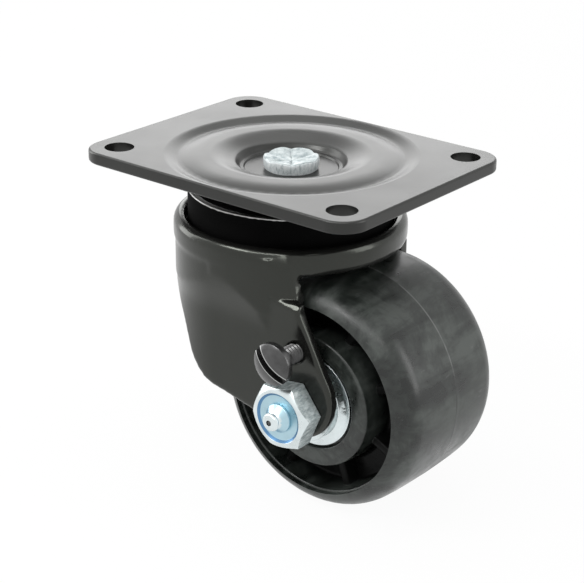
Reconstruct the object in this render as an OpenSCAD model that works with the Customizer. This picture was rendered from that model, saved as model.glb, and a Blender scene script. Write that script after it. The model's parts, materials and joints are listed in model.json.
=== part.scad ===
// Braked swivel plate castor: pressed mounting plate, ball-bearing swivel head, drawn steel fork,
// moulded wheel on a roller bearing and a slotted screw that brakes the wheel's hub.
// Origin at the centre of the plate's top face, +Z up, the wheel trails towards +X, the axle lies along Y.

/* [Mounting plate] */
// Length of the plate along X
plate_l = 108; // [104:1:124]
// Width of the plate along Y
plate_w = 82.6; // [80:0.2:96]
// Thickness of the plate's sheet
plate_t = 4; // [3:0.25:5]
// Radius of the plate's corners
plate_corner_r = 9; // [6:0.5:12]
// Rounding of the plate's top and bottom edges
plate_edge_r = 0.8; // [0.4:0.1:1.2]
// Distance from a bolt hole's middle to the plate's edges
bolt_edge = 9.55; // [8.5:0.05:10.5]
// Diameter of a bolt hole
bolt_d = 9.5; // [6:0.1:11]
// Radius of the pressed groove in the plate
groove_r = 35.6; // [35:0.1:36.2]
// Depth of the pressed groove
groove_depth = 1.4; // [1:0.1:1.8]
// Radius of the recess round the king pin
recess_r = 17; // [16:0.2:17.6]
// Depth of the recess round the king pin
recess_depth = 5; // [4.5:0.1:5.5]

/* [Swivel head] */
// Radius of the king pin's shank
king_r = 7; // [6:0.25:7.5]
// Radius of the king pin's staked head
king_head_r = 9; // [8.5:0.1:10]
// Drop of the king pin's head below the plate's top face
king_head_drop = 0.8; // [0.4:0.1:1.2]
// Radius of the flange at the king pin's lower end
king_flange_r = 14; // [13.5:0.25:14.5]
// Height of the king pin's flange
king_flange_h = 4.9; // [4:0.1:5.4]
// Outer radius of the upper race
race_r = 32.9; // [32.5:0.1:33.1]
// Drop of the upper race's rim below the plate's top face
race_rim_drop = 10.4; // [10:0.1:11]
// Radius of the swivel's load balls
ball_r = 3.175; // [2.9:0.025:3.3]
// Radius of the circle that the load balls run on
ball_ring_r = 25.5; // [25:0.1:25.8]
// Number of load balls
ball_count = 22; // [12:1:23]
// Radius of the pilot balls below the fork's crown
pilot_ball_r = 2; // [1.75:0.05:2.1]
// Radius of the circle that the pilot balls run on
pilot_ring_r = 11; // [10.8:0.1:11.2]
// Number of pilot balls
pilot_count = 14; // [8:1:15]

/* [Fork] */
// Thickness of the collar's rim
collar_wall = 3.8; // [3.5:0.1:4.2]
// Drop of the collar's rim below the plate's top face
collar_drop = 19; // [18.8:0.1:19.6]
// Height of the collar
collar_h = 9; // [8.6:0.1:9.2]
// Outer rounding of the collar's lip
lip_out_r = 2.9; // [2:0.1:3]
// Inner rounding of the collar's lip
lip_in_r = 0.7; // [0.4:0.1:0.8]
// Thickness of the fork's sheet
fork_t = 3.5; // [3:0.1:3.6]
// Step from the collar in to the fork's body
body_in = 0.5; // [0.3:0.1:0.9]
// Thickness of a leg round the axle
leg_t = 3.7; // [3.2:0.1:4]
// Front edge of the fork's body at the collar
body_front_x = 24.2; // [23:0.1:25]
// Radius of the body's flanks in front of the swivel axis
flank_r = 50; // [46:1:56]
// Drop of the ledge where the braked leg steps out from the body
ledge_drop = 34; // [33.5:0.1:34.5]
// Front corner of the ledge
ledge_x = 29.9; // [29:0.1:30.5]
// Radius of the rounded end of a leg
lobe_r = 13.9; // [13:0.1:14.5]
// Height of the rounded end's centre above the axle
lobe_up = 5; // [4:0.1:6]
// Radius of a leg's rear lower corner
heel_r = 18.1; // [17:0.1:19]
// Offset of the faint crease round the back of the body
crease_in = 0.4; // [0.2:0.1:0.6]

/* [Wheel] */
// Distance from the swivel axis to the axle
trail = 28.5; // [28:0.1:30]
// Drop of the axle below the plate's top face
axle_drop = 68.6; // [68.4:0.1:70]
// Radius of the wheel
wheel_r = 38; // [37:0.1:38.2]
// Width of the wheel across its tread
wheel_w = 52; // [50:0.2:52.6]
// Radius of the tread's shoulders
shoulder_r = 10; // [8:0.25:12]
// Height of the tread's crown
tread_crown = 0.5; // [0.2:0.1:0.8]
// Inner radius of the rim on each side
rim_r = 30.9; // [30:0.1:31.2]
// Depth of a side recess
web_depth = 12; // [10:0.5:14]
// Number of ribs in a side recess
rib_count = 8; // [4:1:10]
// Thickness of a rib
rib_t = 3; // [2:0.1:3.5]
// Height of a rib above the recess floor
rib_h = 5; // [3:0.25:6]
// Radius of the hub's boss
hub_r = 21.9; // [21.4:0.1:22.4]
// Distance from the wheel's side in to the hub's face
hub_set = 1; // [0.8:0.1:1.5]
// Radius of the counterbore in the hub's face
hub_cb_r = 15.9; // [15.6:0.1:16.2]
// Depth of the counterbore in the hub's face
hub_cb_depth = 2.4; // [2.2:0.1:3]

/* [Axle and bearing] */
// Diameter of the axle bolt
axle_d = 12.7; // [12:0.05:13]
// Width of the bolt's head across its flats
head_af = 19.5; // [18.5:0.1:20]
// Height of the bolt's head
head_h = 7.5; // [6.5:0.1:8]
// Radius of the dish in the bolt's head
dish_r = 8.2; // [7.4:0.1:8.4]
// Depth of the dish in the bolt's head
dish_depth = 0.9; // [0.4:0.1:1.2]
// Angle of the bolt head's first corner from +X
head_angle = 8; // [0:1:59]
// Wall of the axle sleeve
sleeve_wall = 2.4; // [2:0.1:2.8]
// Radius of a bearing roller
roller_r = 2.3; // [2:0.05:2.4]
// Number of bearing rollers
roller_count = 12; // [8:1:13]
// Wall of the roller cage
cage_wall = 2; // [1.6:0.1:2.4]
// Length of each solid ring at the cage's ends
cage_ring = 3; // [2:0.1:3.4]
// Outer radius of a thrust washer's flange
thrust_r = 15.1; // [14.6:0.1:15.3]
// Thickness of a thrust washer's flange
thrust_t = 1.6; // [1.2:0.1:1.8]
// Outer radius of a thrust washer's collar
thrust_collar_r = 11.6; // [11:0.1:12]
// Height of the lock nut's hexagon
nut_h = 9; // [8:0.25:10]
// Height of the lock nut's rounded top round its insert
nut_crown_h = 3; // [2.5:0.1:3.5]
// Outer radius of the washer under the lock nut
nut_washer_r = 12.5; // [11.5:0.1:13]
// Thickness of the washer under the lock nut
nut_washer_t = 1.6; // [1.2:0.1:2]
// Radius of the grease nipple's foot
nipple_r = 4.6; // [4.2:0.1:5]
// Length of the grease nipple that stands out of the bolt's dish
nipple_l = 5; // [4.5:0.1:6]
// Radius of the grease way through the bolt
grease_r = 1.6; // [1:0.1:2]

/* [Brake] */
// Height of the brake screw's axis above the axle
brake_up = 19.3; // [18.8:0.1:19.6]
// Distance of the brake screw's axis in front of the axle
brake_front = 0.2; // [-0.5:0.1:0.8]
// Diameter of the brake screw's thread
brake_d = 6.2; // [5.6:0.05:6.4]
// Diameter of the brake screw's head
brake_head_d = 13.4; // [12:0.1:13.6]
// Height of the straight side of the brake screw's head
brake_side_h = 2.2; // [1.8:0.1:2.6]
// Height of the dome on the brake screw's head
brake_dome_h = 2.2; // [1.8:0.1:2.6]
// Distance from the leg to the underside of the released screw's head
brake_gap = 8.6; // [7:0.1:10]
// Width of the screwdriver slot
slot_w = 2.2; // [1.2:0.1:2.4]
// Depth of the screwdriver slot
slot_depth = 2.6; // [2:0.1:3]
// Angle of the screwdriver slot from +X
slot_angle = 39; // [-90:1:90]
// Radius of the friction pad at the screw's tip
pad_r = 2.8; // [2.2:0.1:2.9]
// Thickness of the friction pad
pad_t = 1.2; // [1:0.1:1.4]
// Distance from the released pad to the hub
pad_clear = 2; // [1.6:0.1:2.2]

/* [Clearances] */
// Play between pieces that turn on each other
running_play = 0.05; // [0.02:0.01:0.1]
// Play round a ball in its grooves
ball_play = 0.08; // [0.04:0.01:0.12]
// Room between the roller cage and a thrust washer
cage_gap = 1.9; // [1.5:0.1:2.4]
// Play between a thrust washer and the hub
thrust_play = 0.3; // [0.2:0.05:0.4]
// Play of a bolt in its hole
bolt_play = 0.15; // [0.05:0.05:0.3]
// Room between the turning wheel's tread and the fork
wheel_play = 1.2; // [0.8:0.1:1.4]
// Room between the wheel's side and a leg
leg_gap = 3.7; // [3.4:0.1:4.4]
// Room between the upper race and the fork's collar
swivel_gap = 0.8; // [0.6:0.1:1]
// Room between the races' walls
race_gap = 0.6; // [0.4:0.1:0.8]
// Room below the upper race's skirt
skirt_gap = 2; // [1.5:0.1:2.4]

/* [Hidden] */
$fn = 96;

black_paint = [0.10, 0.10, 0.10];
zinc = [0.82, 0.86, 0.88];
bearing_steel = [0.70, 0.71, 0.72];
wheel_grey = [0.20, 0.20, 0.21];
black_oxide = [0.13, 0.13, 0.13];
nylon = [0.85, 0.84, 0.78];
cut = 0.5;
axle_z = -axle_drop;

// Plate.
bolt_dx = plate_l - 2 * bolt_edge;
bolt_dy = plate_w - 2 * bolt_edge;
groove_in_w = 7.5;
groove_out_w = 5;
panel_drop = 0.25;
formed_r = groove_r + groove_out_w;

// Swivel head levels, worked down from the plate.
lip_w = 2.2;
roll_w = 9;
roll_depth = 2.4;
ring_h = 0.5;
ring_w = 0.4;
ring_r = recess_r - lip_w / 2 - 0.7;
race_top_z = -recess_depth - plate_t;
race_web = 5;
race_grip = 0.9;
cup_web = 3;
crown_gap = 2;
ball_z = race_top_z - race_web - ball_r;
race_floor_z = ball_z + race_grip;
cup_floor_z = ball_z - ball_r - ball_play - cup_web;
crown_z = race_floor_z - crown_gap;
crown_r = 17;
dome_t = fork_t;
pilot_grip = 0.7;
pilot_z = crown_z - dome_t - pilot_ball_r + pilot_grip;
pilot_pocket_r = crown_r - 0.5;
flange_top_z = pilot_z - pilot_ball_r + pilot_grip;
race_skirt_t = 1.7;
race_shoulder = 1.8;
race_lip = 1;
lower_race_in = ball_ring_r - ball_r - race_shoulder;
lower_race_out = race_r - race_skirt_t - race_gap;
lower_race_top_z = ball_z - race_lip;
petals = 6;
petal_angle = 9;

// Fork levels.
cup_r = race_r + swivel_gap;
collar_r = cup_r + collar_wall;
body_r = collar_r - body_in;
leg_y = wheel_w / 2 + leg_gap + leg_t;
collar_top_z = -collar_drop;
collar_bottom_z = collar_top_z - collar_h;
ledge_z = -ledge_drop;
ledge_web = fork_t;
far_ledge_x = body_front_x + 0.8;
far_ledge_z = ledge_z - 2 * fork_t - 1;
shoulder_z = collar_top_z - lip_out_r;
flank_back_x = -2;
back_x = -4;
flank_proud = 0.3;
front_lean = 2.6;
crease_z = collar_bottom_z - 1.25 * collar_h;
body_low_z = axle_z - wheel_r / 2;
leg_inner_y = leg_y - leg_t;
bulge_top_z = collar_bottom_z;
bulge_bottom_z = bulge_top_z - 18;
lobe_x = trail + 0.6;
lobe_z = axle_z + lobe_up;
heel_z = axle_z + 15.6;
skirt_arc_x = -41.5;
skirt_arc_z = axle_z + 0.5;
skirt_arc_r = 26;

// Wheel and bearing sizes.
half_w = wheel_w / 2;
hub_y = half_w - hub_set;
web_y = half_w - web_depth;
sleeve_r = axle_d / 2 + bolt_play + sleeve_wall;
roller_ring_r = sleeve_r + running_play + roller_r;
hub_bore_r = roller_ring_r + roller_r + running_play;
cb_floor_y = hub_y - hub_cb_depth;
thrust_in_y = cb_floor_y + thrust_play;
roller_l = 2 * (thrust_in_y - cage_gap - cage_ring);
head_r = head_af / sqrt(3);
dish_y = -leg_y - head_h + dish_depth;
nut_y = leg_y + nut_washer_t;
nipple_thread_r = nipple_r * 0.63;
nipple_thread_l = nipple_l * 1.2;
nipple_ball_r = nipple_r * 0.196;
nipple_seat = nipple_l * 0.22;

// Brake positions.
brake_x = trail + brake_front;
brake_z = axle_z + brake_up;
brake_under_y = -leg_y - brake_gap;
pad_tip_y = -hub_y - pad_clear;
pad_back_y = pad_tip_y - pad_t;
pin_r = 1.2;
pin_l = 3;

function arc(cx, cy, r, from, to, n) =
    [for (i = [0:n]) [cx + r * cos(from + (to - from) * i / n), cy + r * sin(from + (to - from) * i / n)]];

// Smooth step from 0 to 1 as x goes from a to b.
function ease(x, a, b) = let (t = min(1, max(0, (x - a) / (b - a)))) t * t * (3 - 2 * t);

// Height of the plate's pressed top face at radius r: wall down to the groove, gentle rise to the middle
// panel, roll towards the recess, recess wall and the small ring at its foot.
function plate_top(r) =
    r >= groove_r ? -groove_depth * (1 - ease(r, groove_r, formed_r)) :
    -panel_drop
    - (groove_depth - panel_drop) * pow(max(0, 1 - (groove_r - r) / groove_in_w), 2)
    - roll_depth * (1 - ease(r, recess_r - lip_w / 2, recess_r + roll_w))
    - (recess_depth - roll_depth - panel_drop - ring_h) * (1 - ease(r, recess_r - lip_w / 2, recess_r + lip_w / 2))
    - ring_h * (1 - ease(r, ring_r - ring_w, ring_r));

// n radii from one end of a span to the other, without its first.
function span(from, to, n) = [for (i = [1:n]) from + (to - from) * i / n];

// Turns a shape drawn in X and Z into a slab from y = from to y = to.
module slab(from, to) {
    translate([0, to, 0])
        rotate([90, 0, 0])
            linear_extrude(to - from) children();
}

// Places a shape modelled along +Z on an axis along +Y at x, z, starting at y.
module along_y(x, y, z) {
    translate([x, y, z]) rotate([-90, 0, 0]) children();
}

// Plate outline with square edges, grown by g.
module plate_outline(g) {
    l = plate_l + 2 * g;
    w = plate_w + 2 * g;
    r = plate_corner_r + g;
    square([l - 2 * r, w], center = true);
    square([l, w - 2 * r], center = true);
    for (sx = [-1, 1], sy = [-1, 1])
        translate([sx * (l / 2 - r), sy * (w / 2 - r)]) circle(r);
}

// Section of the plate's edge from the middle out to w, with rounded edges.
function plate_edge(w) = concat(
    [[0, -plate_t]],
    arc(w - plate_edge_r, plate_edge_r - plate_t, plate_edge_r, -90, 0, 4),
    arc(w - plate_edge_r, -plate_edge_r, plate_edge_r, 0, 90, 4),
    [[0, 0]]
);

// Flat outer part of the plate, with rounded edges and corners.
module plate_flat() {
    in_x = plate_l / 2 - plate_corner_r;
    in_y = plate_w / 2 - plate_corner_r;
    for (side = [0, 1]) {
        mirror([0, side, 0])
            rotate([0, 0, 90]) rotate([90, 0, 0])
                linear_extrude(2 * in_x, center = true) polygon(plate_edge(plate_w / 2));
        mirror([side, 0, 0])
            rotate([90, 0, 0])
                linear_extrude(2 * in_y, center = true) polygon(plate_edge(plate_l / 2));
    }
    for (sx = [-1, 1], sy = [-1, 1])
        translate([sx * in_x, sy * in_y, 0]) rotate_extrude() polygon(plate_edge(plate_corner_r));
}

// Round pressed middle of the plate: groove, dome and recess in a sheet of even thickness.
module plate_formed() {
    rs = concat(
        [king_r + running_play, ring_r - ring_w, ring_r, recess_r - lip_w / 2],
        span(recess_r - lip_w / 2, recess_r + lip_w / 2, 6),
        span(recess_r + lip_w / 2, recess_r + roll_w, 10),
        [groove_r - groove_in_w],
        span(groove_r - groove_in_w, groove_r, 6),
        span(groove_r, formed_r, 8)
    );
    top = [for (r = rs) [r, plate_top(r)]];
    bottom = [for (i = [len(rs) - 1:-1:0]) [rs[i], plate_top(rs[i]) - plate_t]];
    rotate_extrude() polygon(concat(top, bottom));
}

module top_plate() {
    color(black_paint) difference() {
        union() {
            difference() {
                plate_flat();
                translate([0, 0, -plate_t - cut]) cylinder(r = formed_r - 0.01, h = plate_t + 2 * cut);
            }
            plate_formed();
        }
        for (sx = [-1, 1], sy = [-1, 1])
            translate([sx * bolt_dx / 2, sy * bolt_dy / 2, -plate_t - cut])
                cylinder(d = bolt_d, h = plate_t + 2 * cut);
    }
}

// King pin: ball flange below, shank through the head, end staked over in six petals in the plate's recess.
module king_pin() {
    head_z = -recess_depth;
    head_h = recess_depth - king_head_drop;
    color(zinc) difference() {
        union() {
            translate([0, 0, flange_top_z - king_flange_h])
                rotate_extrude() polygon(concat(
                    [[0, 0]],
                    arc(king_flange_r - 1, 1, 1, -90, 0, 6),
                    arc(king_flange_r - 0.6, king_flange_h - 0.6, 0.6, 0, 90, 4),
                    [[0, king_flange_h]]
                ));
            translate([0, 0, flange_top_z - cut]) cylinder(r = king_r, h = head_z - flange_top_z + 2 * cut);
            translate([0, 0, head_z])
                rotate_extrude() polygon(concat(
                    [[0, 0], [king_head_r - 0.3, 0]],
                    arc(king_head_r - 1.2, head_h - 1.2, 1.2, 10, 90, 6),
                    [[0, head_h]]
                ));
        }
        translate([0, 0, pilot_z])
            rotate_extrude() translate([pilot_ring_r, 0]) circle(pilot_ball_r + ball_play, $fn = 48);
        for (i = [0:petals - 1])
            rotate([0, 0, petal_angle + i * 360 / petals])
                translate([king_head_r * 0.52, 0, head_z + head_h + 0.6])
                    rotate([45, 0, 0]) cube([king_head_r, 2, 2], center = true);
        translate([0, 0, head_z + head_h - 0.7])
            cylinder(r1 = king_head_r * 0.16, r2 = king_head_r * 0.36, h = 0.7 + cut);
    }
}

// Upper race: a dish clamped under the plate, with the load balls' groove and a skirt inside the collar.
module upper_race() {
    rim_z = -race_rim_drop;
    skirt_z = cup_floor_z + skirt_gap;
    dish_z = rim_z - 0.8 * race_skirt_t;
    edge_r = 0.3 * race_skirt_t;
    color(black_paint) difference() {
        rotate_extrude() polygon(concat(
            [
                [king_r + running_play, race_top_z],
                [recess_r - lip_w / 2 - race_gap, race_top_z],
                [recess_r + race_gap, dish_z],
                [race_r - 1.6 * race_skirt_t, dish_z],
                [race_r - race_skirt_t, rim_z]
            ],
            arc(race_r - edge_r, rim_z - edge_r, edge_r, 90, 0, 4),
            [
                [race_r, skirt_z],
                [race_r - race_skirt_t, skirt_z],
                [race_r - race_skirt_t, race_floor_z],
                [king_r + running_play, race_floor_z]
            ]
        ));
        ball_groove(ball_ring_r, ball_z, ball_r);
    }
}

module ball_groove(ring_r, z, r) {
    translate([0, 0, z]) rotate_extrude() translate([ring_r, 0]) circle(r + ball_play, $fn = 48);
}

module balls(count, ring_r, z, r) {
    for (i = [0:count - 1])
        rotate([0, 0, i * 360 / count]) translate([ring_r, 0, z]) sphere(r, $fn = 32);
}

module swivel_balls() {
    color(bearing_steel) balls(ball_count, ball_ring_r, ball_z, ball_r);
}

module pilot_balls() {
    color(bearing_steel) balls(pilot_count, pilot_ring_r, pilot_z, pilot_ball_r);
}

module lower_race() {
    color(bearing_steel) difference() {
        translate([0, 0, cup_floor_z])
            difference() {
                cylinder(r = lower_race_out, h = lower_race_top_z - cup_floor_z);
                translate([0, 0, -cut]) cylinder(r = lower_race_in, h = lower_race_top_z - cup_floor_z + 2 * cut);
            }
        ball_groove(ball_ring_r, ball_z, ball_r);
    }
}

// Collar and crown of the fork, turned about the swivel axis.
module fork_collar() {
    foot_r = 2.4;
    floor_bottom_z = cup_floor_z - fork_t;
    rotate_extrude() polygon(concat(
        [[king_r + 1.5, crown_z], [crown_r - 2, crown_z], [crown_r + 0.8, cup_floor_z]],
        [[cup_r, cup_floor_z]],
        arc(cup_r + lip_in_r, collar_top_z - lip_in_r, lip_in_r, 180, 90, 4),
        arc(collar_r - lip_out_r, collar_top_z - lip_out_r, lip_out_r, 90, 0, 8),
        arc(collar_r - foot_r, collar_bottom_z + foot_r, foot_r, 0, -90, 8),
        [[cup_r - 3, collar_bottom_z], [cup_r - 4, floor_bottom_z], [pilot_pocket_r, floor_bottom_z]],
        [[pilot_pocket_r - 0.8, crown_z - dome_t], [king_r + 1.5, crown_z - dome_t]]
    ));
}

// Side outline of a leg whose front upper corner lies at fx, top, with the body behind it, in X and Z.
module leg_outline(fx, top) {
    knee_x = fx + 0.4;
    knee_z = top - 3;
    lobe_in = lobe_r - 0.15;
    heel_in = heel_r - 0.15;
    lower = asin((heel_r - lobe_r) / norm([lobe_x, lobe_z - heel_z])) + atan2(lobe_z - heel_z, lobe_x);
    reach = norm([lobe_x - knee_x, lobe_z - knee_z]);
    front = atan2(lobe_z - knee_z, lobe_x - knee_x) + asin(lobe_r / reach);
    translate([lobe_x, lobe_z]) circle(lobe_r);
    translate([0, heel_z]) circle(heel_r);
    polygon([
        [heel_in * cos(lower - 90), heel_z + heel_in * sin(lower - 90)],
        [lobe_x + lobe_in * cos(lower - 90), lobe_z + lobe_in * sin(lower - 90)],
        [lobe_x + lobe_in * cos(front + 90), lobe_z + lobe_in * sin(front + 90)],
        [knee_x, knee_z],
        [fx, top],
        [-heel_in, top],
        [-heel_in * cos(20), heel_z - heel_in * sin(20)]
    ]);
}

// Side outline of the drawn body: skirt behind the legs, front edge that leans out by lean down to top.
module body_outline(top, lean) {
    skirt_z = heel_z - 6;
    difference() {
        translate([-body_r - 1, skirt_z]) square([body_r + 1, shoulder_z - skirt_z]);
        translate([skirt_arc_x, skirt_arc_z]) circle(skirt_arc_r);
    }
    polygon([
        [-1, shoulder_z], [body_front_x, shoulder_z], [body_front_x + lean, top - cut], [-1, top - cut]
    ]);
}

// Plan of the drawn body: round behind the swivel axis, flatter flanks in front of it; inset by t.
module body_plan(t) {
    flank = flank_r + flank_proud - t;
    circle(body_r - t);
    intersection() {
        translate([0, flank_r - body_r]) circle(flank);
        translate([0, body_r - flank_r]) circle(flank);
        translate([flank_back_x, -2 * body_r]) square([2 * body_r, 4 * body_r]);
    }
}

// Section of the body across Y, narrowing smoothly from the collar to the flat legs; inset by t.
module bulge_section(t) {
    wide = body_r + 0.4 - t;
    flat = leg_y - t;
    low_z = body_low_z - 2 * cut;
    steps = 8;
    flank = [
        for (i = [0:steps])
            let (f = i / steps)
            [wide + (flat - wide) * ease(f, 0, 1), bulge_top_z + (bulge_bottom_z - bulge_top_z) * f]
    ];
    polygon(concat(
        [[-wide, collar_top_z]], [for (q = flank) [-q[0], q[1]]], [[-flat, low_z], [flat, low_z]],
        [for (i = [steps:-1:0]) flank[i]], [[wide, collar_top_z]]
    ));
}

// The section swept forward from the body's round back, and turned about back_x behind it.
module bulge(t) {
    translate([back_x, 0, 0]) rotate([90, 0, 90]) linear_extrude(2 * body_r - back_x) bulge_section(t);
    translate([back_x, 0, 0]) rotate([0, 0, 90]) rotate_extrude(angle = 180) intersection() {
        bulge_section(t);
        translate([0, body_low_z - 4 * cut]) square([2 * body_r, -body_low_z + 4 * cut]);
    }
}

// Drawn body with its hollow; its front edge stops short on the side without the brake.
module fork_body() {
    difference() {
        intersection() {
            union() {
                translate([0, 0, body_low_z]) linear_extrude(crease_z - body_low_z) body_plan(crease_in);
                translate([0, 0, crease_z]) linear_extrude(shoulder_z - crease_z) body_plan(0);
            }
            bulge(0);
            slab(-body_r - 1, body_r + 1) {
                intersection() {
                    leg_outline(ledge_x, ledge_z);
                    translate([-body_r, body_low_z]) square([body_r + body_front_x + front_lean, -body_low_z]);
                }
                body_outline(ledge_z, front_lean);
            }
        }
        intersection() {
            translate([0, 0, body_low_z - cut])
                linear_extrude(shoulder_z - body_low_z + 2 * cut) body_plan(fork_t);
            bulge(leg_t);
        }
        translate([0, -leg_inner_y, body_low_z - cut])
            cube([2 * body_r, 2 * leg_inner_y, ledge_z - ledge_web - body_low_z + cut]);
        translate([body_front_x, 0, far_ledge_z - cut]) cube([body_r, 2 * body_r, -far_ledge_z]);
        translate([0, 0, cup_floor_z]) cylinder(r = cup_r + 0.3, h = collar_drop);
    }
}

// Flat sheet of the leg on one side, and the web that joins its top edge to the body.
module leg(side, fx, top) {
    slab(side > 0 ? leg_inner_y : -leg_y, side > 0 ? leg_y : -leg_inner_y) difference() {
        leg_outline(fx, top);
        translate([-body_r, body_low_z]) square([body_r, -body_low_z]);
    }
    difference() {
        slab(side > 0 ? leg_y - 2 * leg_t : -leg_y, side > 0 ? leg_y : 2 * leg_t - leg_y)
            translate([0, top - ledge_web]) square([body_front_x, ledge_web]);
        translate([0, 0, top - ledge_web - cut]) linear_extrude(ledge_web + 2 * cut) body_plan(fork_t - 0.5);
    }
}

// Space that the turning wheel needs.
module wheel_room() {
    g = wheel_play;
    along_y(trail, 0, axle_z)
        rotate_extrude() polygon(concat(
            [[0, -half_w - g]],
            arc(wheel_r - shoulder_r, shoulder_r - half_w, shoulder_r + g, -90, 0, 8),
            arc(wheel_r - shoulder_r, half_w - shoulder_r, shoulder_r + g, 0, 90, 8),
            [[0, half_w + g]]
        ));
}

// Drawn fork: collar and crown, body, and two flat legs beside the wheel; the braked leg reaches higher.
module fork() {
    color(black_paint) difference() {
        union() {
            fork_collar();
            fork_body();
            leg(-1, ledge_x, ledge_z);
            leg(1, far_ledge_x, far_ledge_z);
        }
        wheel_room();
        along_y(trail, -leg_y - cut, axle_z) cylinder(r = axle_d / 2 + bolt_play, h = 2 * leg_y + 2 * cut);
        along_y(brake_x, -leg_y - cut, brake_z) cylinder(r = brake_d / 2 + running_play, h = leg_t + 6);
        ball_groove(pilot_ring_r, pilot_z, pilot_ball_r);
    }
}

// One side of the wheel's section, from the middle outwards: radius and distance along the axle.
function wheel_side() = concat(
    [[hub_bore_r, 0], [hub_bore_r, cb_floor_y], [hub_cb_r, cb_floor_y]],
    [[hub_cb_r, hub_y - 0.4], [hub_cb_r + 0.4, hub_y]],
    arc(hub_r - 0.8, hub_y - 0.8, 0.8, 90, 0, 4),
    arc(hub_r + 2.2, web_y + 1.2, 1.2, 180, 270, 4),
    arc(rim_r - 1.6, web_y + 1.2, 1.2, 270, 360, 4),
    arc(rim_r + 0.4, half_w - 3.3, 0.8, 180, 90, 4),
    arc(wheel_r - tread_crown - shoulder_r, half_w - shoulder_r, shoulder_r, 80, 0, 10),
    [[wheel_r - tread_crown * 0.35, half_w * 0.3], [wheel_r, 0]]
);

module wheel() {
    side = wheel_side();
    mirrored = [for (i = [len(side) - 2:-1:1]) [side[i][0], -side[i][1]]];
    color(wheel_grey) along_y(trail, 0, axle_z) {
        rotate_extrude() polygon(concat(side, mirrored));
        for (end = [-1, 1], i = [0:rib_count - 1])
            rotate([0, 0, 65 + i * 360 / rib_count])
                translate([hub_r - 1, -rib_t / 2, end > 0 ? web_y - 1 : -web_y - rib_h])
                    cube([rim_r - hub_r + 1.6, rib_t, rib_h + 1]);
    }
}

module bearing_rollers() {
    color(bearing_steel) along_y(trail, -roller_l / 2, axle_z)
        for (i = [0:roller_count - 1])
            rotate([0, 0, i * 360 / roller_count])
                translate([roller_ring_r, 0, 0]) cylinder(r = roller_r, h = roller_l, $fn = 32);
}

// Cage that keeps the rollers apart: a tube with one window for each roller.
module roller_cage() {
    length = roller_l + 2 * cage_ring;
    window = 2 * (roller_r + ball_play);
    color(nylon) along_y(trail, -length / 2, axle_z) difference() {
        cylinder(r = roller_ring_r + cage_wall / 2, h = length);
        translate([0, 0, -cut]) cylinder(r = roller_ring_r - cage_wall / 2, h = length + 2 * cut);
        for (i = [0:roller_count - 1])
            rotate([0, 0, i * 360 / roller_count])
                translate([roller_ring_r - cage_wall, -window / 2, cage_ring - ball_play])
                    cube([2 * cage_wall, window, roller_l + 2 * ball_play]);
    }
}

// Hardened sleeve that the bolt clamps between the legs, with a cross hole for grease.
module axle_sleeve() {
    color(bearing_steel) difference() {
        along_y(trail, -leg_inner_y, axle_z) difference() {
            cylinder(r = sleeve_r, h = 2 * leg_inner_y);
            translate([0, 0, -cut]) cylinder(r = axle_d / 2 + bolt_play, h = 2 * leg_inner_y + 2 * cut);
        }
        translate([trail, 0, axle_z]) cylinder(r = grease_r, h = 2 * sleeve_r);
    }
}

// Flanged washer on the near side; its collar bears on the leg and its flange closes the bearing.
module thrust_washer(side) {
    flange_out_y = thrust_in_y + thrust_t;
    color(zinc) translate([trail, 0, axle_z]) rotate([side > 0 ? -90 : 90, 0, 0]) difference() {
        union() {
            translate([0, 0, thrust_in_y]) cylinder(r = thrust_r, h = thrust_t);
            translate([0, 0, thrust_in_y]) cylinder(r = thrust_collar_r, h = leg_inner_y - thrust_in_y);
            translate([0, 0, flange_out_y])
                cylinder(r1 = thrust_r - 0.8, r2 = thrust_collar_r, h = 1.2);
        }
        translate([0, 0, thrust_in_y - cut])
            cylinder(r = sleeve_r + running_play, h = leg_inner_y - thrust_in_y + 2 * cut);
    }
}

module thrust_washer_near() {
    thrust_washer(-1);
}

module thrust_washer_far() {
    thrust_washer(1);
}

// Hexagon with corner radius r and height h, its corners turned off at one end.
module hex_head(r, h, angle) {
    flat_r = r * sqrt(3) / 2;
    intersection() {
        rotate([0, 0, angle]) cylinder(r = r, h = h, $fn = 6);
        union() {
            cylinder(r = r + 1, h = h - (r - flat_r) * 0.6);
            translate([0, 0, h - (r - flat_r) * 0.6 - 0.01])
                cylinder(r1 = r + 0.02, r2 = flat_r, h = (r - flat_r) * 0.6 + 0.01);
        }
    }
}

module axle_bolt() {
    shank_l = nut_y + nut_h + nut_crown_h + 2 + leg_y;
    color(zinc) difference() {
        union() {
            translate([trail, -leg_y, axle_z]) rotate([90, 0, 0]) hex_head(head_r, head_h, head_angle);
            along_y(trail, -leg_y - cut, axle_z) {
                cylinder(d = axle_d, h = shank_l + cut - 1);
                translate([0, 0, shank_l + cut - 1]) cylinder(d1 = axle_d, d2 = axle_d - 2, h = 1);
            }
        }
        along_y(trail, -leg_y - head_h - cut, axle_z) cylinder(r = dish_r, h = dish_depth + cut);
        along_y(trail, dish_y - cut, axle_z) cylinder(r = nipple_thread_r, h = nipple_thread_l + cut);
        along_y(trail, dish_y, axle_z) cylinder(r = grease_r, h = -dish_y + grease_r);
        translate([trail, 0, axle_z]) cylinder(r = grease_r, h = axle_d);
    }
}

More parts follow.
